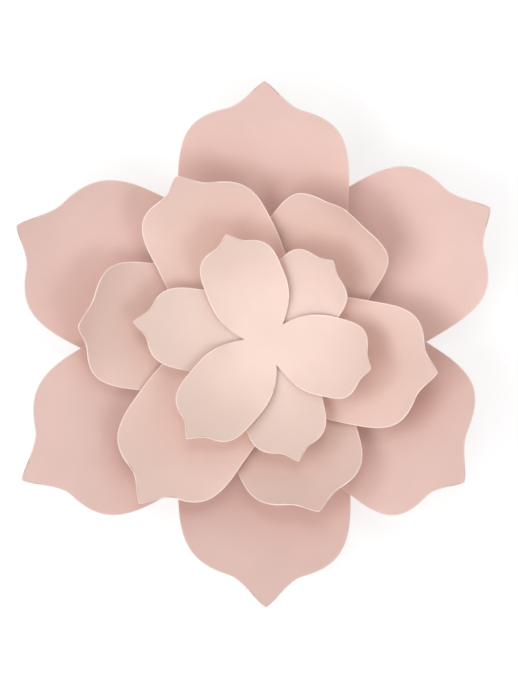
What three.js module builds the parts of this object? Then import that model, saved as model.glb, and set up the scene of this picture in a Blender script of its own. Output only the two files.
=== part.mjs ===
import * as THREE from 'three';
import { mergeVertices } from 'three/addons/utils/BufferGeometryUtils.js';

// A giant paper flower, lying on its back. Six die-cut sheets of card, each with three petals round
// one flat middle, are stacked in three sizes. The two sheets of a size are turned so that their
// petals alternate, and a thick glue dot joins them. A foam pad lifts each size off the one below.
// Millimetres, +Z up, the origin at the centre of the flat back of the lowest sheet.

// Driving dimensions: card and joints
const cardThickness = 0.6;
const glueDotThickness = 3;
const foamPadThickness = 5;
const largeDotRadius = 22;
const mediumDotRadius = 17;
const smallDotRadius = 10;
const mediumPadRadius = 17;
const smallPadRadius = 11;

// Driving dimensions: one petal of each size, laid flat. length runs from the middle of the sheet to
// the petal's point, notch from the middle to where two petals part, and flat is the radius of the
// level middle, outside which the sheet dishes up to the slope rim, in degrees.
const largeSize = { length: 228, width: 134, notch: 37, flat: 28.5, rim: 9 };
const mediumSize = { length: 170, width: 100, notch: 27.5, flat: 21, rim: 13 };
const smallSize = { length: 111, width: 65, notch: 18, flat: 14, rim: 16 };

// How far the dish reaches, as a share of the petal's length, and how much the petal's foot cups
const dishReach = 0.34;
const upperFootCup = 1.0;
const lowerFootCup = 0.2;

// The stretch of a petal over which each bend comes in, in shares of its length from the middle of
// the sheet. The foot's cup is full at footCupFull and then fades, and so does the rows' bow.
const swayStretch = [0.12, 0.5];
const riseStretch = [0.24, 0.65];
const curlStretch = [0.55, 1];
const cupStretch = [0.35, 0.8];
const rollStretch = [0.2, 0.7];
const footCupFull = 0.3;
const footCupFade = [0.4, 0.8];
const bowFade = [0.2, 0.85];

// The outline of half a petal, in shares of its length and half width: it leaves the notch at
// footAngle, is widest at waist, dips at the shoulder and comes to a blunt point. Each pull is the
// length of a curve handle, in shares of the petal's length.
const footAngle = 41;
const footPull = 0.25;
const waist = 0.57;
const waistPullIn = 0.2;
const waistPullOut = 0.19;
const shoulder = 0.863;
const shoulderHalfWidth = 0.432;
const shoulderAngle = 73;
const shoulderPullIn = 0.12;
const shoulderPullOut = 0.054;
const pointAngle = 60;
const pointPull = 0.035;

// How finely each piece is faceted. slopeReach is how far a slope is followed, in petal lengths.
const footSteps = 6;
const sideSteps = 6;
const pointSteps = 4;
const halfColumns = 4;
const slopeSteps = 96;
const slopeReach = 1.2;
const padSides = 32;

// The six sheets. turn is the direction of the first petal, in degrees from +X, and the other two
// follow it anticlockwise.
// Each petal is bent in its own way, all angles in degrees: sway turns it sideways, rise is the
// slope that it gains by its middle, curl what it gains from there to the point, cup how round it is
// from side to side (the inverse of a radius in petal lengths), roll tips it sideways, and skew turns
// the line that it bends along.
const upperLarge = {
  name: 'large_sheet_upper', size: largeSize, turn: -27.5, centre: [1, 0.5], footCup: upperFootCup,
  petals: [
    { sway: -3.5, rise: 43, curl: 16, cup: 0.05, roll: -12, skew: 16 },
    { sway: -3.5, rise: 31, curl: 18, cup: 0.3, roll: 1, skew: -6 },
    { sway: -2.5, rise: 27, curl: 5, cup: 0.6, roll: -1, skew: -3 },
  ],
};
const lowerLarge = {
  name: 'large_sheet_lower', size: largeSize, turn: 33, centre: [0, 0], footCup: lowerFootCup,
  petals: [
    { sway: -1.5, rise: 25, curl: 25, cup: 0.25, roll: -5, skew: 10 },
    { sway: 0, rise: 22, curl: 30, cup: 0.75, roll: 4, skew: -15 },
    { sway: -1.5, rise: 31, curl: 11, cup: 0.6, roll: -4, skew: 1 },
  ],
};
const upperMedium = {
  name: 'medium_sheet_upper', size: mediumSize, turn: -12.5, centre: [-2.5, 1.5], footCup: upperFootCup,
  petals: [
    { sway: 0.5, rise: 34, curl: 18, cup: 0.3, roll: 9, skew: -12 },
    { sway: 6, rise: 38, curl: 14, cup: 0.25, roll: 4, skew: -12 },
    { sway: 6, rise: 24, curl: 8, cup: 0.25, roll: 6, skew: -6 },
  ],
};
const lowerMedium = {
  name: 'medium_sheet_lower', size: mediumSize, turn: 52, centre: [-1, 0.5], footCup: lowerFootCup,
  petals: [
    { sway: 2, rise: 37, curl: 42, cup: 0.35, roll: 8, skew: -7 },
    { sway: 0.5, rise: 27, curl: 42, cup: 0.05, roll: 10, skew: -16 },
    { sway: -2.5, rise: 31, curl: 24, cup: 0.6, roll: -1, skew: -2 },
  ],
};
const upperSmall = {
  name: 'small_sheet_upper', size: smallSize, turn: -8.5, centre: [6, -0.5], footCup: upperFootCup,
  petals: [
    { sway: -4.5, rise: 42, curl: 13, cup: 0.4, roll: -5, skew: 2 },
    { sway: -1, rise: 35, curl: 10, cup: 0.4, roll: 0, skew: -7 },
    { sway: -2, rise: 26, curl: 8, cup: 0.55, roll: 3, skew: -2 },
  ],
};
const lowerSmall = {
  name: 'small_sheet_lower', size: smallSize, turn: 50, centre: [4, 0.5], footCup: lowerFootCup,
  petals: [
    { sway: 0.5, rise: 44, curl: 10, cup: 0.35, roll: -6, skew: 3 },
    { sway: 1, rise: 14, curl: 14, cup: 0.65, roll: 6, skew: -11 },
    { sway: -5.5, rise: 28, curl: 12, cup: 0.4, roll: 8, skew: -16 },
  ],
};

const radians = Math.PI / 180;
const sector = 120;
const nearZero = 1e-6;
const levelTolerance = 0.01;

// From 0 at the start of a stretch to 1 at its end
function smoothStep([from, to], x) {
  return THREE.MathUtils.smoothstep(x, from, to);
}

// Half of a petal's edge, from the notch to the point, as flat points
function petalEdge(size) {
  const { length, width, notch } = size;
  const at = (x, y, angle = 0, pull = 0) => new THREE.Vector2(
    x + pull * length * Math.cos(angle * radians),
    y + pull * length * Math.sin(angle * radians),
  );
  const notchX = notch * Math.cos(sector / 2 * radians);
  const notchY = notch * Math.sin(sector / 2 * radians);
  const shoulderX = shoulder * length;
  const shoulderY = shoulderHalfWidth * width / 2;
  const foot = new THREE.CubicBezierCurve(
    at(notchX, notchY), at(notchX, notchY, footAngle, footPull),
    at(waist * length, width / 2, 180, waistPullIn), at(waist * length, width / 2),
  );
  const side = new THREE.CubicBezierCurve(
    at(waist * length, width / 2), at(waist * length, width / 2, 0, waistPullOut),
    at(shoulderX, shoulderY, 180 - shoulderAngle, shoulderPullIn), at(shoulderX, shoulderY),
  );
  const point = new THREE.CubicBezierCurve(
    at(shoulderX, shoulderY), at(shoulderX, shoulderY, -shoulderAngle, shoulderPullOut),
    at(length, 0, 180 - pointAngle, pointPull), at(length, 0),
  );
  return [
    ...foot.getPoints(footSteps),
    ...side.getPoints(sideSteps).slice(1),
    ...point.getPoints(pointSteps).slice(1),
  ];
}

// Rows of flat points across one petal. Each row bows forwards near the notch, where it follows a
// circle round the middle, and is straight near the point. The first rows ring the level middle.
function petalRows(size) {
  const edge = petalEdge(size);
  const corner = edge[0];
  const level = size.flat / size.notch;
  const ends = [corner.clone().multiplyScalar(level), ...edge];
  const bowAtNotch = 1 / Math.tan(sector / 2 * radians);
  return ends.map(end => {
    const bow = bowAtNotch * (1 - smoothStep(bowFade, end.x / size.length));
    const row = [];
    for (let column = -halfColumns; column <= halfColumns; column += 1) {
      const across = column / halfColumns;
      const forward = end.x + bow * end.y * (1 - across * across);
      row.push(new THREE.Vector2(forward, end.y * across));
    }
    return row;
  });
}

// A curve given by its slope: how far along and how high it has come at a distance, in shares of
// the petal's length, with the slope there
function slopeCurve(slopeAt) {
  const step = slopeReach / slopeSteps;
  const along = [0];
  const height = [0];
  for (let i = 0; i < slopeSteps; i += 1) {
    const slope = slopeAt((i + 0.5) * step);
    along.push(along[i] + step * Math.cos(slope));
    height.push(height[i] + step * Math.sin(slope));
  }
  return distance => {
    const place = THREE.MathUtils.clamp(distance / step, 0, slopeSteps - nearZero);
    const index = Math.floor(place);
    const share = place - index;
    return {
      along: THREE.MathUtils.lerp(along[index], along[index + 1], share),
      height: THREE.MathUtils.lerp(height[index], height[index + 1], share),
      slope: slopeAt(distance),
    };
  };
}

// Bends the flat points of one petal: cupped from side to side, rolled, curled up along its length
// and then laid in the dish that all petals of the sheet share
function petalBend(sheet, petal) {
  const { length, flat, rim } = sheet.size;
  const curlCurve = slopeCurve(distance => radians * (
    petal.rise * smoothStep(riseStretch, distance) + petal.curl * smoothStep(curlStretch, distance)
  ));
  const level = flat / length;
  const dishCurve = slopeCurve(distance => radians * rim * smoothStep([0, dishReach - level], distance));
  const skewCos = Math.cos(petal.skew * radians);
  const skewSin = Math.sin(petal.skew * radians);
  return point => {
    const sway = petal.sway * radians * smoothStep(swayStretch, point.length() / length);
    const flatPoint = point.clone().rotateAround(new THREE.Vector2(), sway).divideScalar(length);
    const forward = flatPoint.x;
    const footCup = sheet.footCup * smoothStep([level, footCupFull], forward)
      * (1 - smoothStep(footCupFade, forward));
    const roundness = footCup + petal.cup * smoothStep(cupStretch, forward);
    const turned = roundness * flatPoint.y;
    const bends = Math.abs(roundness) > nearZero;
    const cupped = new THREE.Vector2(
      bends ? Math.sin(turned) / roundness : flatPoint.y,
      bends ? (1 - Math.cos(turned)) / roundness : 0,
    );
    const rolled = cupped.rotateAround(
      new THREE.Vector2(), petal.roll * radians * smoothStep(rollStretch, forward),
    );
    const alongSkew = forward * skewCos + rolled.x * skewSin;
    const acrossSkew = -forward * skewSin + rolled.x * skewCos;
    const curled = curlCurve(alongSkew);
    const curledAlong = curled.along - rolled.y * Math.sin(curled.slope);
    const x = curledAlong * skewCos - acrossSkew * skewSin;
    const y = curledAlong * skewSin + acrossSkew * skewCos;
    const height = curled.height + rolled.y * Math.cos(curled.slope);
    const radius = Math.hypot(x, y);
    const dish = dishCurve(Math.max(radius - level, 0));
    const dishRadius = Math.min(radius, level) + dish.along - height * Math.sin(dish.slope);
    return new THREE.Vector3(
      x / radius * dishRadius, y / radius * dishRadius, dish.height + height * Math.cos(dish.slope),
    ).multiplyScalar(length);
  };
}

// The sheet's middle surface: three bent petals that share their vertices up to the notches
function middleSurface(sheet) {
  const lastColumn = 2 * halfColumns;
  const notchRow = 1;
  const petals = sheet.petals.map((petal, index) => {
    const bend = petalBend(sheet, petal);
    const heading = (sheet.turn + index * sector) * radians;
    const place = point => bend(point).applyAxisAngle(new THREE.Vector3(0, 0, 1), heading);
    return petalRows(sheet.size).map(row => row.map(place));
  });
  petals.forEach((rows, index) => {
    const next = petals[(index + 1) % petals.length];
    for (let row = 0; row <= notchRow; row += 1) rows[row][lastColumn] = next[row][0];
  });
  const positions = [];
  const addTriangle = (a, b, c) => positions.push(...a.toArray(), ...b.toArray(), ...c.toArray());
  const middle = new THREE.Vector3();
  petals.forEach(rows => {
    for (let column = 0; column < lastColumn; column += 1) {
      addTriangle(middle, rows[0][column], rows[0][column + 1]);
      for (let row = 0; row < rows.length - 1; row += 1) {
        const [inner, outer] = [rows[row], rows[row + 1]];
        if (row === rows.length - 2) {
          addTriangle(inner[column], outer[column], inner[column + 1]);
        } else if (column < halfColumns) {
          addTriangle(inner[column], outer[column], inner[column + 1]);
          addTriangle(outer[column], outer[column + 1], inner[column + 1]);
        } else {
          addTriangle(inner[column], outer[column], outer[column + 1]);
          addTriangle(inner[column], outer[column + 1], inner[column + 1]);
        }
      }
    }
  });
  const geometry = new THREE.BufferGeometry();
  geometry.setAttribute('position', new THREE.Float32BufferAttribute(positions, 3));
  const merged = mergeVertices(geometry);
  merged.computeVertexNormals();
  return merged;
}

// Gives a surface its thickness: a front and a back, half the thickness away on each side, and a
// rim along every edge that only one triangle uses. The level middle is moved straight up and down.
function thicken(surface, thickness, levelRadius) {
  const position = surface.attributes.position;
  const normal = surface.attributes.normal;
  const triangles = Array.from(surface.index.array);
  const count = position.count;
  const vertices = [];
  [thickness / 2, -thickness / 2].forEach(offset => {
    for (let i = 0; i < count; i += 1) {
      const point = new THREE.Vector3().fromBufferAttribute(position, i);
      const isLevel = Math.hypot(point.x, point.y) <= levelRadius;
      const direction = isLevel
        ? new THREE.Vector3(0, 0, 1)
        : new THREE.Vector3().fromBufferAttribute(normal, i);
      vertices.push(...point.addScaledVector(direction, offset).toArray());
    }
  });
  const faces = [];
  const edges = new Set();
  for (let i = 0; i < triangles.length; i += 3) {
    const [a, b, c] = triangles.slice(i, i + 3);
    faces.push(a, b, c, count + a, count + c, count + b);
    [[a, b], [b, c], [c, a]].forEach(([from, to]) => edges.add(`${from} ${to}`));
  }
  edges.forEach(edge => {
    const [from, to] = edge.split(' ').map(Number);
    if (edges.has(`${to} ${from}`)) return;
    faces.push(from, count + from, count + to, from, count + to, to);
  });
  const geometry = new THREE.BufferGeometry();
  geometry.setAttribute('position', new THREE.Float32BufferAttribute(vertices, 3));
  geometry.setIndex(faces);
  geometry.computeVertexNormals();
  return geometry;
}

const cardMaterial = new THREE.MeshStandardMaterial({ color: 0xebcdc1, roughness: 0.85, metalness: 0 });
const glueMaterial = new THREE.MeshStandardMaterial({ color: 0xe8e2d8, roughness: 0.4, metalness: 0 });
const foamMaterial = new THREE.MeshStandardMaterial({ color: 0xf4f2ee, roughness: 0.95, metalness: 0 });

const flower = new THREE.Group();
let stackHeight = 0;

// Lays a sheet's flat back on the stack
function addSheet(sheet) {
  const levelRadius = sheet.size.flat + levelTolerance;
  const geometry = thicken(middleSurface(sheet), cardThickness, levelRadius);
  const mesh = new THREE.Mesh(geometry, cardMaterial.clone());
  mesh.name = sheet.name;
  mesh.position.set(...sheet.centre, stackHeight + cardThickness / 2);
  flower.add(mesh);
  stackHeight += cardThickness;
}

// Lays a round pad on the stack, under the middle of the sheet that comes next
function addPad(name, radius, thickness, sheetAbove, material) {
  const geometry = new THREE.CylinderGeometry(radius, radius, thickness, padSides);
  geometry.rotateX(Math.PI / 2);
  const mesh = new THREE.Mesh(geometry, material.clone());
  mesh.name = name;
  mesh.position.set(...sheetAbove.centre, stackHeight + thickness / 2);
  flower.add(mesh);
  stackHeight += thickness;
}

addSheet(lowerLarge);
addPad('large_glue_dot', largeDotRadius, glueDotThickness, upperLarge, glueMaterial);
addSheet(upperLarge);
addPad('medium_foam_pad', mediumPadRadius, foamPadThickness, lowerMedium, foamMaterial);
addSheet(lowerMedium);
addPad('medium_glue_dot', mediumDotRadius, glueDotThickness, upperMedium, glueMaterial);
addSheet(upperMedium);
addPad('small_foam_pad', smallPadRadius, foamPadThickness, lowerSmall, foamMaterial);
addSheet(lowerSmall);
addPad('small_glue_dot', smallDotRadius, glueDotThickness, upperSmall, glueMaterial);
addSheet(upperSmall);

export default flower;
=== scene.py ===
import math

import bmesh
import bpy
from mathutils import Matrix, Vector


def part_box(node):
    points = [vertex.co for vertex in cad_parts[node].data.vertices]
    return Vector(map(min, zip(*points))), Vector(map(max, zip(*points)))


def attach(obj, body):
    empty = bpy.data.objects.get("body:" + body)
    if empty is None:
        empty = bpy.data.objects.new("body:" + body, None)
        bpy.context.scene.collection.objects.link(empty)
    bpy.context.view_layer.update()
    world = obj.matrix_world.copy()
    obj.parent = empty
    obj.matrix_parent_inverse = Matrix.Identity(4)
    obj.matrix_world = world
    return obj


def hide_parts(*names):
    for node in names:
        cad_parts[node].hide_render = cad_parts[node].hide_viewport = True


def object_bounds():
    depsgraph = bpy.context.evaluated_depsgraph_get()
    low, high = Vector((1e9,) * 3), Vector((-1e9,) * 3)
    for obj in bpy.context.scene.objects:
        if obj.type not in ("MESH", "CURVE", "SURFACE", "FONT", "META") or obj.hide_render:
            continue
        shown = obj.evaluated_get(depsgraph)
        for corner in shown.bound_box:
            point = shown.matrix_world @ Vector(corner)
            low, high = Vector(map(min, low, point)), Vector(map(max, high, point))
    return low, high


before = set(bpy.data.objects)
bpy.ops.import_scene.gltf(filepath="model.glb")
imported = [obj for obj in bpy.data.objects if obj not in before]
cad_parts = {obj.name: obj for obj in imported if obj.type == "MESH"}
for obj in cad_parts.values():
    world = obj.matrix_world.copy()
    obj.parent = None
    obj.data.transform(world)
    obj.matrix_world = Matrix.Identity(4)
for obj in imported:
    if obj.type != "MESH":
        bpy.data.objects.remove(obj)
cadBox = [list(corner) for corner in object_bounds()]
print("frame loaded:", len(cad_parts), "nodes")

millimetre = 0.001
threeWays = 120  # degrees between the petals of a sheet
nearZero = 1e-6

# The cutting outline of half a petal, the same in all three sizes. Pulls are the lengths of the
# curve handles, and all but the angles are shares of the petal's length.
petalCut = {
    "footAngle": 41,
    "footPull": 0.25,
    "waist": 0.57,
    "waistPullIn": 0.2,
    "waistPullOut": 0.19,
    "shoulder": 0.863,
    "shoulderHalfWidth": 0.432,  # share of the half width
    "shoulderAngle": 73,
    "shoulderPullIn": 0.12,
    "shoulderPullOut": 0.054,
    "pointAngle": 60,
    "pointPull": 0.035,
}

# Millimetres, laid flat. rim is the slope in degrees of the dish round the level middle.
petalSizes = {
    "large": {"length": 228, "width": 134, "notch": 37, "level": 28.5, "rim": 9},
    "medium": {"length": 170, "width": 100, "notch": 27.5, "level": 21, "rim": 13},
    "small": {"length": 111, "width": 65, "notch": 18, "level": 14, "rim": 16},
}

cardStock = {
    "thickness": 0.6,
    "highlightBandWidth": 0.6,  # width of the band along the edges painted pale, a painted highlight for the light that the bent card's edge catches
    "highlightFrom": 0.33,  # share of the petal's length from which the edge gets the painted highlight
    "columns": 32,  # faces across a petal
    "middleRows": 6,
    "footRows": 22,
    "sideRows": 22,
    "pointRows": 8,
    "slopeSteps": 240,
    "slopeReach": 1.2,  # how far a slope is followed, in petal lengths
    "weldWithin": 0.002,
}

# The stretch of a petal over which each bend comes in, in shares of its length
stretches = {
    "sway": (0.12, 0.5),
    "rise": (0.24, 0.65),
    "curl": (0.55, 1),
    "cup": (0.35, 0.8),
    "roll": (0.2, 0.7),
    "footCupFull": 0.3,
    "footCupFade": (0.4, 0.8),
    "bowFade": (0.2, 0.85),  # where the rows of faces turn from bowed to straight
    "dishReach": 0.34,
}

# How each petal is bent, in degrees: sway turns it sideways, rise is the slope that it gains by its
# middle, curl what it gains from there to its point, roll tips it sideways and skew turns the line
# that it bends along. cup is how round it is from side to side, as one over a radius in lengths.
sheets = {
    "large_sheet_lower": {
        "size": "large", "turn": 33, "centre": (0, 0), "footCup": 0.2,
        "petals": [
            {"sway": -1.5, "rise": 25, "curl": 25, "cup": 0.25, "roll": -5, "skew": 10},
            {"sway": 0, "rise": 22, "curl": 30, "cup": 0.75, "roll": 4, "skew": -15},
            {"sway": -1.5, "rise": 31, "curl": 11, "cup": 0.6, "roll": -4, "skew": 1},
        ],
    },
    "large_sheet_upper": {
        "size": "large", "turn": -27.5, "centre": (1, 0.5), "footCup": 1.0,
        "petals": [
            {"sway": -3.5, "rise": 43, "curl": 16, "cup": 0.05, "roll": -12, "skew": 16},
            {"sway": -3.5, "rise": 31, "curl": 18, "cup": 0.3, "roll": 1, "skew": -6},
            {"sway": -2.5, "rise": 27, "curl": 5, "cup": 0.6, "roll": -1, "skew": -3},
        ],
    },
    "medium_sheet_lower": {
        "size": "medium", "turn": 52, "centre": (-1, 0.5), "footCup": 0.2,
        "petals": [
            {"sway": 2, "rise": 37, "curl": 42, "cup": 0.35, "roll": 8, "skew": -7},
            {"sway": 0.5, "rise": 27, "curl": 42, "cup": 0.05, "roll": 10, "skew": -16},
            {"sway": -2.5, "rise": 31, "curl": 24, "cup": 0.6, "roll": -1, "skew": -2},
        ],
    },
    "medium_sheet_upper": {
        "size": "medium", "turn": -12.5, "centre": (-2.5, 1.5), "footCup": 1.0,
        "petals": [
            {"sway": 0.5, "rise": 34, "curl": 18, "cup": 0.3, "roll": 9, "skew": -12},
            {"sway": 6, "rise": 38, "curl": 14, "cup": 0.25, "roll": 4, "skew": -12},
            {"sway": 6, "rise": 24, "curl": 8, "cup": 0.25, "roll": 6, "skew": -6},
        ],
    },
    "small_sheet_lower": {
        "size": "small", "turn": 50, "centre": (4, 0.5), "footCup": 0.2,
        "petals": [
            {"sway": 0.5, "rise": 44, "curl": 10, "cup": 0.35, "roll": -6, "skew": 3},
            {"sway": 1, "rise": 14, "curl": 14, "cup": 0.65, "roll": 6, "skew": -11},
            {"sway": -5.5, "rise": 28, "curl": 12, "cup": 0.4, "roll": 8, "skew": -16},
        ],
    },
    "small_sheet_upper": {
        "size": "small", "turn": -8.5, "centre": (6, -0.5), "footCup": 1.0,
        "petals": [
            {"sway": -4.5, "rise": 42, "curl": 13, "cup": 0.4, "roll": -5, "skew": 2},
            {"sway": -1, "rise": 35, "curl": 10, "cup": 0.4, "roll": 0, "skew": -7},
            {"sway": -2, "rise": 26, "curl": 8, "cup": 0.55, "roll": 3, "skew": -2},
        ],
    },
}


# From 0 at the start of a stretch to 1 at its end
def smoothStep(stretch, x):
    start, end = stretch
    share = min(max((x - start) / (end - start), 0), 1)
    return share * share * (3 - 2 * share)


def pulled(point, angle, pull):
    return point + pull * Vector((math.cos(math.radians(angle)), math.sin(math.radians(angle))))


def curvePoint(handles, share):
    while len(handles) > 1:
        handles = [a.lerp(b, share) for a, b in zip(handles, handles[1:])]
    return handles[0]


# The ends of the rows of faces across a petal, from the middle of the sheet to the petal's point
def rowEnds(size):
    cut = petalCut
    length = size["length"]
    half = math.radians(threeWays / 2)
    notch = size["notch"] * Vector((math.cos(half), math.sin(half)))
    waist = Vector((cut["waist"] * length, size["width"] / 2))
    shoulder = Vector((cut["shoulder"] * length, cut["shoulderHalfWidth"] * size["width"] / 2))
    point = Vector((length, 0))
    foot = [
        notch,
        pulled(notch, cut["footAngle"], cut["footPull"] * length),
        pulled(waist, 180, cut["waistPullIn"] * length),
        waist,
    ]
    side = [
        waist,
        pulled(waist, 0, cut["waistPullOut"] * length),
        pulled(shoulder, 180 - cut["shoulderAngle"], cut["shoulderPullIn"] * length),
        shoulder,
    ]
    tip = [
        shoulder,
        pulled(shoulder, -cut["shoulderAngle"], cut["shoulderPullOut"] * length),
        pulled(point, 180 - cut["pointAngle"], cut["pointPull"] * length),
        point,
    ]
    ends = [notch * row / cardStock["middleRows"] for row in range(cardStock["middleRows"])]
    for curve, rows in ((foot, "footRows"), (side, "sideRows"), (tip, "pointRows")):
        ends += [curvePoint(curve, row / cardStock[rows]) for row in range(cardStock[rows])]
    return ends + [point]


# How far along and how high a curve of a given slope has come, in shares of the petal's length
def slopeCurve(slopeAt):
    steps = cardStock["slopeSteps"]
    step = cardStock["slopeReach"] / steps
    along = [0.0]
    height = [0.0]
    for i in range(steps):
        slope = slopeAt((i + 0.5) * step)
        along.append(along[-1] + step * math.cos(slope))
        height.append(height[-1] + step * math.sin(slope))

    def at(distance):
        place = min(max(distance / step, 0), steps - nearZero)
        index = int(place)
        share = place - index
        return (
            along[index] + share * (along[index + 1] - along[index]),
            height[index] + share * (height[index + 1] - height[index]),
            slopeAt(distance),
        )

    return at


# Moves a flat point of one petal: cupped, rolled, curled along its length, then laid in the dish
def petalBend(sheet, petal):
    size = petalSizes[sheet["size"]]
    length = size["length"]
    level = size["level"] / length
    curl = slopeCurve(lambda distance: math.radians(
        petal["rise"] * smoothStep(stretches["rise"], distance)
        + petal["curl"] * smoothStep(stretches["curl"], distance)
    ))
    dishStretch = (0, stretches["dishReach"] - level)
    dish = slopeCurve(lambda distance: math.radians(size["rim"] * smoothStep(dishStretch, distance)))
    skewCos = math.cos(math.radians(petal["skew"]))
    skewSin = math.sin(math.radians(petal["skew"]))

    def bend(flat):
        sway = math.radians(petal["sway"]) * smoothStep(stretches["sway"], flat.length / length)
        x, y = Matrix.Rotation(sway, 2) @ flat / length
        footCup = sheet["footCup"] * smoothStep((level, stretches["footCupFull"]), x)
        footCup *= 1 - smoothStep(stretches["footCupFade"], x)
        roundness = footCup + petal["cup"] * smoothStep(stretches["cup"], x)
        cupped = Vector((y, 0))
        if abs(roundness) > nearZero:
            cupped = Vector((math.sin(roundness * y), 1 - math.cos(roundness * y))) / roundness
        roll = math.radians(petal["roll"]) * smoothStep(stretches["roll"], x)
        across, lift = Matrix.Rotation(roll, 2) @ cupped
        alongSkew = x * skewCos + across * skewSin
        acrossSkew = across * skewCos - x * skewSin
        curledAlong, curledHeight, slope = curl(alongSkew)
        curledAlong -= lift * math.sin(slope)
        height = curledHeight + lift * math.cos(slope)
        place = Vector((
            curledAlong * skewCos - acrossSkew * skewSin,
            curledAlong * skewSin + acrossSkew * skewCos,
        ))
        radius = place.length
        dishAlong, dishHeight, dishSlope = dish(max(radius - level, 0))
        dishRadius = min(radius, level) + dishAlong - height * math.sin(dishSlope)
        place = place / max(radius, nearZero) * dishRadius
        return length * Vector((*place, dishHeight + height * math.cos(dishSlope)))

    return bend


# One die-cut sheet: three grids laid out as flat petals, bent, welded and given the card's thickness
def makeSheet(name, sheet):
    size = petalSizes[sheet["size"]]
    ends = rowEnds(size)
    lastRow = len(ends) - 1
    bowAtNotch = 1 / math.tan(math.radians(threeWays / 2))
    thickness = cardStock["thickness"] * millimetre
    highlightBandWidth = cardStock["highlightBandWidth"] * millimetre
    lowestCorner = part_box(name)[0]
    centre = Vector((*sheet["centre"], lowestCorner[2] / millimetre + cardStock["thickness"] / 2))
    mesh = bmesh.new()
    flatPlace = mesh.verts.layers.float_vector.new("flatPlace")
    for index, petal in enumerate(sheet["petals"]):
        bend = petalBend(sheet, petal)
        onSheet = Matrix.Rotation(math.radians(index * threeWays), 3, "Z")
        turned = Matrix.Rotation(math.radians(sheet["turn"] + index * threeWays), 3, "Z")
        columns = cardStock["columns"]
        grid = bmesh.ops.create_grid(mesh, x_segments=columns, y_segments=lastRow, size=1)
        for vertex in grid["verts"]:
            across = -vertex.co.x
            end = ends[round((vertex.co.y + 1) / 2 * lastRow)]
            bow = bowAtNotch * (1 - smoothStep(stretches["bowFade"], end.x / size["length"]))
            flat = Vector((end.x + bow * end.y * (1 - across * across), end.y * across))
            vertex[flatPlace] = onSheet @ flat.to_3d()
            vertex.co = (turned @ bend(flat) + centre) * millimetre
    bmesh.ops.remove_doubles(mesh, verts=mesh.verts[:], dist=cardStock["weldWithin"] * millimetre)
    mesh.normal_update()
    outward = mesh.verts.layers.float_vector.new("outward")
    for vertex in mesh.verts:
        vertex[outward] = vertex.normal
    back = mesh.faces[:]
    lifted = bmesh.ops.extrude_face_region(mesh, geom=back, use_keep_orig=True)["geom"]
    front = [item for item in lifted if isinstance(item, bmesh.types.BMFace)]
    frontVertices = {item for item in lifted if isinstance(item, bmesh.types.BMVert)}
    for vertex in mesh.verts:
        side = 1 if vertex in frontVertices else -1
        vertex.co += side * thickness / 2 * vertex[outward]
    bmesh.ops.reverse_faces(mesh, faces=back)
    rim = set(mesh.faces) - set(front) - set(back)
    bmesh.ops.recalc_face_normals(mesh, faces=mesh.faces[:])
    # Painted highlight: past a share of the petal's length, the rim and a band along the edge on both
    # faces get the pale edge material, for the light that the bent edge catches
    highlightFaces = set(rim)
    for side in (front, back):
        band = bmesh.ops.inset_region(mesh, faces=side, thickness=highlightBandWidth)
        highlightFaces.update(band["faces"])
    highlightFrom = cardStock["highlightFrom"] * size["length"]
    for face in mesh.faces:
        reach = (face.calc_center_median() / millimetre - centre).xy.length
        face.smooth = True
        face.material_index = 1 if reach > highlightFrom and face in highlightFaces else 0
    for edge in mesh.edges:
        edge.smooth = len({face in rim for face in edge.link_faces}) == 1
    mesh.verts.layers.float_vector.remove(outward)
    data = bpy.data.meshes.new(name + "_card")
    mesh.to_mesh(data)
    mesh.free()
    piece = bpy.data.objects.new(name + "_card", data)
    bpy.context.scene.collection.objects.link(piece)
    return piece


# The card's colour in each size: deepest on the large sheets at the bottom of the stack, palest on the
# small sheets on top
cardColour = {
    "large": (0.817, 0.589, 0.533),
    "medium": (0.836, 0.62, 0.548),
    "small": (0.826, 0.651, 0.58),
    # Painted highlight: pale colours for the sheets' edges, least pale on the large sheets
    "largeEdge": (0.87, 0.68, 0.62),
    "mediumEdge": (0.98, 0.84, 0.78),
    "smallEdge": (0.98, 0.84, 0.78),
    "palest": 1.03,  # times the colour, where the pulp is thin
    "palestAt": 1,
    "deepest": 0.95,
    "deepestAt": 0.4,
    "cloudScale": 0.022,  # per millimetre
    "cloudDetail": 3,
    "fibreScale": 1.1,
    "fibreDetail": 4,
    "fibreShare": 0.45,
    "toothDepth": 0.03,
    "toothStrength": 0.35,
    "roughness": 0.82,
}


def newSurface(name):
    surface = bpy.data.materials.new(name)
    surface.use_nodes = True
    nodes = surface.node_tree.nodes
    return surface, nodes, surface.node_tree.links, nodes["Principled BSDF"]


def addNoise(nodes, links, place, scale, detail):
    noise = nodes.new("ShaderNodeTexNoise")
    noise.inputs["Scale"].default_value = scale
    noise.inputs["Detail"].default_value = detail
    links.new(place, noise.inputs["Vector"])
    return noise.outputs["Fac"]


def shade(colour, share):
    return [channel * share for channel in colour] + [1]


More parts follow.
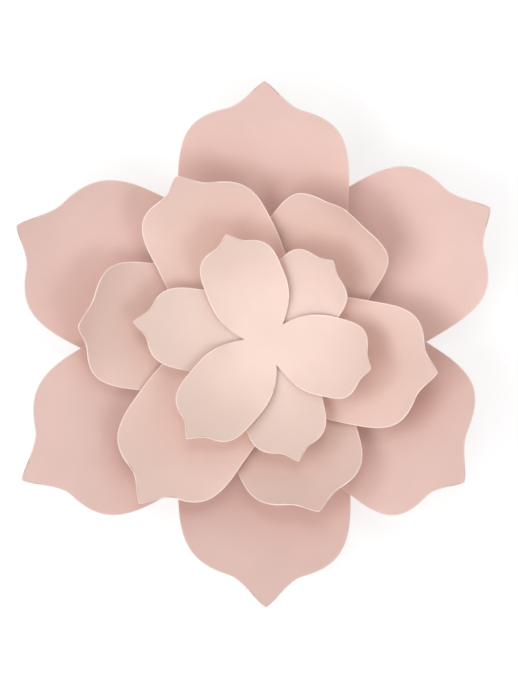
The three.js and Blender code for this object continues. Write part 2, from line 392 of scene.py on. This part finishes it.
def cardSurface(name, colour):
    surface, nodes, links, shader = newSurface(name)
    place = nodes.new("ShaderNodeAttribute")
    place.attribute_name = "flatPlace"
    look = cardColour
    cloud = addNoise(nodes, links, place.outputs["Vector"], look["cloudScale"], look["cloudDetail"])
    fibre = addNoise(nodes, links, place.outputs["Vector"], look["fibreScale"], look["fibreDetail"])
    blend = nodes.new("ShaderNodeMath")
    blend.operation = "MULTIPLY_ADD"
    blend.inputs[1].default_value = look["fibreShare"]
    links.new(fibre, blend.inputs[0])
    links.new(cloud, blend.inputs[2])
    tone = nodes.new("ShaderNodeValToRGB")
    tone.color_ramp.elements[0].position = look["deepestAt"]
    tone.color_ramp.elements[0].color = shade(colour, look["deepest"])
    tone.color_ramp.elements[1].position = look["palestAt"]
    tone.color_ramp.elements[1].color = shade(colour, look["palest"])
    links.new(blend.outputs["Value"], tone.inputs["Fac"])
    links.new(tone.outputs["Color"], shader.inputs["Base Color"])
    shader.inputs["Roughness"].default_value = look["roughness"]
    bump = nodes.new("ShaderNodeBump")
    bump.inputs["Strength"].default_value = look["toothStrength"]
    bump.inputs["Distance"].default_value = look["toothDepth"] * millimetre
    links.new(fibre, bump.inputs["Height"])
    links.new(bump.outputs["Normal"], shader.inputs["Normal"])
    return surface


card = {size: cardSurface(size + "_card", cardColour[size]) for size in petalSizes}
# The pale edge material is a painted highlight, laid on each sheet's rim and edge band
edgeHighlight = {size: cardSurface(size + "_card_edge_highlight", cardColour[size + "Edge"]) for size in petalSizes}

for name, sheet in sheets.items():
    piece = makeSheet(name, sheet)
    piece.data.materials.append(card[sheet["size"]])
    piece.data.materials.append(edgeHighlight[sheet["size"]])
    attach(piece, "root")
    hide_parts(name)
    print("sheet made:", name, len(piece.data.polygons), "faces")


# The foam pads and the glue dots between the sheets. cells is per metre, bumpDepth in millimetres.
padLooks = {
    "foam": {
        "colour": (0.88, 0.87, 0.84, 1), "deep": (0.74, 0.73, 0.7, 1),
        "cells": 2200, "bumpDepth": 0.1, "roughness": 0.9,
    },
    "glue": {
        "colour": (0.8, 0.77, 0.7, 1), "deep": (0.72, 0.69, 0.62, 1),
        "cells": 300, "bumpDepth": 0.1, "roughness": 0.35,
    },
}


def padSurface(name, look):
    surface, nodes, links, shader = newSurface(name)
    place = nodes.new("ShaderNodeTexCoord")
    cells = addNoise(nodes, links, place.outputs["Object"], look["cells"], 2)
    tone = nodes.new("ShaderNodeValToRGB")
    tone.color_ramp.elements[0].position = 0.35
    tone.color_ramp.elements[0].color = look["deep"]
    tone.color_ramp.elements[1].position = 0.65
    tone.color_ramp.elements[1].color = look["colour"]
    links.new(cells, tone.inputs["Fac"])
    links.new(tone.outputs["Color"], shader.inputs["Base Color"])
    shader.inputs["Roughness"].default_value = look["roughness"]
    bump = nodes.new("ShaderNodeBump")
    bump.inputs["Strength"].default_value = 0.5
    bump.inputs["Distance"].default_value = look["bumpDepth"] * millimetre
    links.new(cells, bump.inputs["Height"])
    links.new(bump.outputs["Normal"], shader.inputs["Normal"])
    return surface


for kind, look in padLooks.items():
    surface = padSurface("pad_" + kind, look)
    for name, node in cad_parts.items():
        if kind in name:
            node.data.materials.clear()
            node.data.materials.append(surface)
print("pads dressed")


# Camera in millimetres over the flower's middle, the rest in metres. A lamp's share is the light
# that it alone throws on the floor, where 1 shows a white floor white. from and lean are degrees.
studio = {
    "camera": {"over": (-0.8, -2), "distance": 1694, "viewHeight": 531, "sensor": 36},
    "floorSize": 3,
    "floorGap": 0.0002,
    "floorTone": 0.45,
    "floorGlow": 0.6,
    "fill": 0.63,
    "lamps": {
        "key": {"from": 225, "lean": 30, "distance": 2.0, "size": 1.0, "share": 0.17},
        "left": {"from": 180, "lean": 40, "distance": 2.0, "size": 1.2, "share": 0.145},
        "low": {"from": 315, "lean": 40, "distance": 2.0, "size": 1.0, "share": 0.105},
        "top": {"from": 90, "lean": 20, "distance": 2.0, "size": 0.6, "share": 0.085},
    },
}


# A number that is one value to the camera and in reflections, and another where it lights the object
def seenDirectly(nodes, links, seen, lighting):
    path = nodes.new("ShaderNodeLightPath")
    camera = nodes.new("ShaderNodeMath")
    camera.operation = "MAXIMUM"
    links.new(path.outputs["Is Camera Ray"], camera.inputs[0])
    links.new(path.outputs["Is Glossy Ray"], camera.inputs[1])
    either = nodes.new("ShaderNodeMath")
    either.operation = "MAXIMUM"
    links.new(camera.outputs["Value"], either.inputs[0])
    links.new(path.outputs["Is Transmission Ray"], either.inputs[1])
    pick = nodes.new("ShaderNodeMapRange")
    pick.inputs["To Min"].default_value = lighting
    pick.inputs["To Max"].default_value = seen
    links.new(either.outputs["Value"], pick.inputs["Value"])
    return pick.outputs["Result"]


# Shows from above with the flower's shadow on it, and lets the room's light through to the back
def addFloor():
    data = bpy.data.meshes.new("floor")
    mesh = bmesh.new()
    bmesh.ops.create_grid(mesh, x_segments=1, y_segments=1, size=studio["floorSize"] / 2)
    bmesh.ops.translate(mesh, verts=mesh.verts[:], vec=(0, 0, cadBox[0][2] - studio["floorGap"]))
    mesh.to_mesh(data)
    mesh.free()
    floor = bpy.data.objects.new("floor", data)
    bpy.context.scene.collection.objects.link(floor)
    surface, nodes, links, shader = newSurface("white_floor")
    tone = studio["floorTone"]
    shader.inputs["Base Color"].default_value = (tone, tone, tone, 1)
    shader.inputs["Roughness"].default_value = 1
    shader.inputs["Specular IOR Level"].default_value = 0
    shader.inputs["Emission Color"].default_value = (1, 1, 1, 1)
    shader.inputs["Emission Strength"].default_value = studio["floorGlow"]
    above = nodes.new("ShaderNodeMath")
    above.operation = "SUBTRACT"
    above.inputs[0].default_value = 1
    links.new(nodes.new("ShaderNodeNewGeometry").outputs["Backfacing"], above.inputs[1])
    shown = nodes.new("ShaderNodeMath")
    shown.operation = "MULTIPLY"
    links.new(above.outputs["Value"], shown.inputs[0])
    links.new(seenDirectly(nodes, links, 1, 0), shown.inputs[1])
    sheer = nodes.new("ShaderNodeMixShader")
    links.new(shown.outputs["Value"], sheer.inputs["Fac"])
    links.new(nodes.new("ShaderNodeBsdfTransparent").outputs["BSDF"], sheer.inputs[1])
    links.new(shader.outputs["BSDF"], sheer.inputs[2])
    links.new(sheer.outputs["Shader"], nodes["Material Output"].inputs["Surface"])
    data.materials.append(surface)


def addWorld():
    world = bpy.data.worlds.new("white_room")
    world.use_nodes = True
    nodes = world.node_tree.nodes
    background = nodes["Background"]
    background.inputs["Color"].default_value = (1, 1, 1, 1)
    links = world.node_tree.links
    links.new(seenDirectly(nodes, links, 1, studio["fill"]), background.inputs["Strength"])
    bpy.context.scene.world = world


def addLamp(name, lamp):
    data = bpy.data.lights.new(name, "AREA")
    data.shape = "DISK"
    data.size = lamp["size"]
    lean = math.radians(lamp["lean"])
    data.energy = lamp["share"] * (math.pi * lamp["distance"]) ** 2 / math.cos(lean)
    light = bpy.data.objects.new(name, data)
    toward = math.radians(lamp["from"])
    place = Vector((math.sin(lean) * math.cos(toward), math.sin(lean) * math.sin(toward), math.cos(lean)))
    light.location = lamp["distance"] * place
    light.rotation_euler = place.to_track_quat("Z", "Y").to_euler()
    bpy.context.scene.collection.objects.link(light)


def addCamera():
    view = studio["camera"]
    data = bpy.data.cameras.new("camera")
    data.sensor_width = view["sensor"]
    data.lens = data.sensor_width * view["distance"] / view["viewHeight"]
    camera = bpy.data.objects.new("camera", data)
    camera.location = Vector((*view["over"], view["distance"])) * millimetre
    bpy.context.scene.collection.objects.link(camera)
    bpy.context.scene.camera = camera


addFloor()
addWorld()
for name, lamp in studio["lamps"].items():
    addLamp(name + "_lamp", lamp)
addCamera()
bpy.context.scene.view_settings.view_transform = "Standard"
print("studio set up")
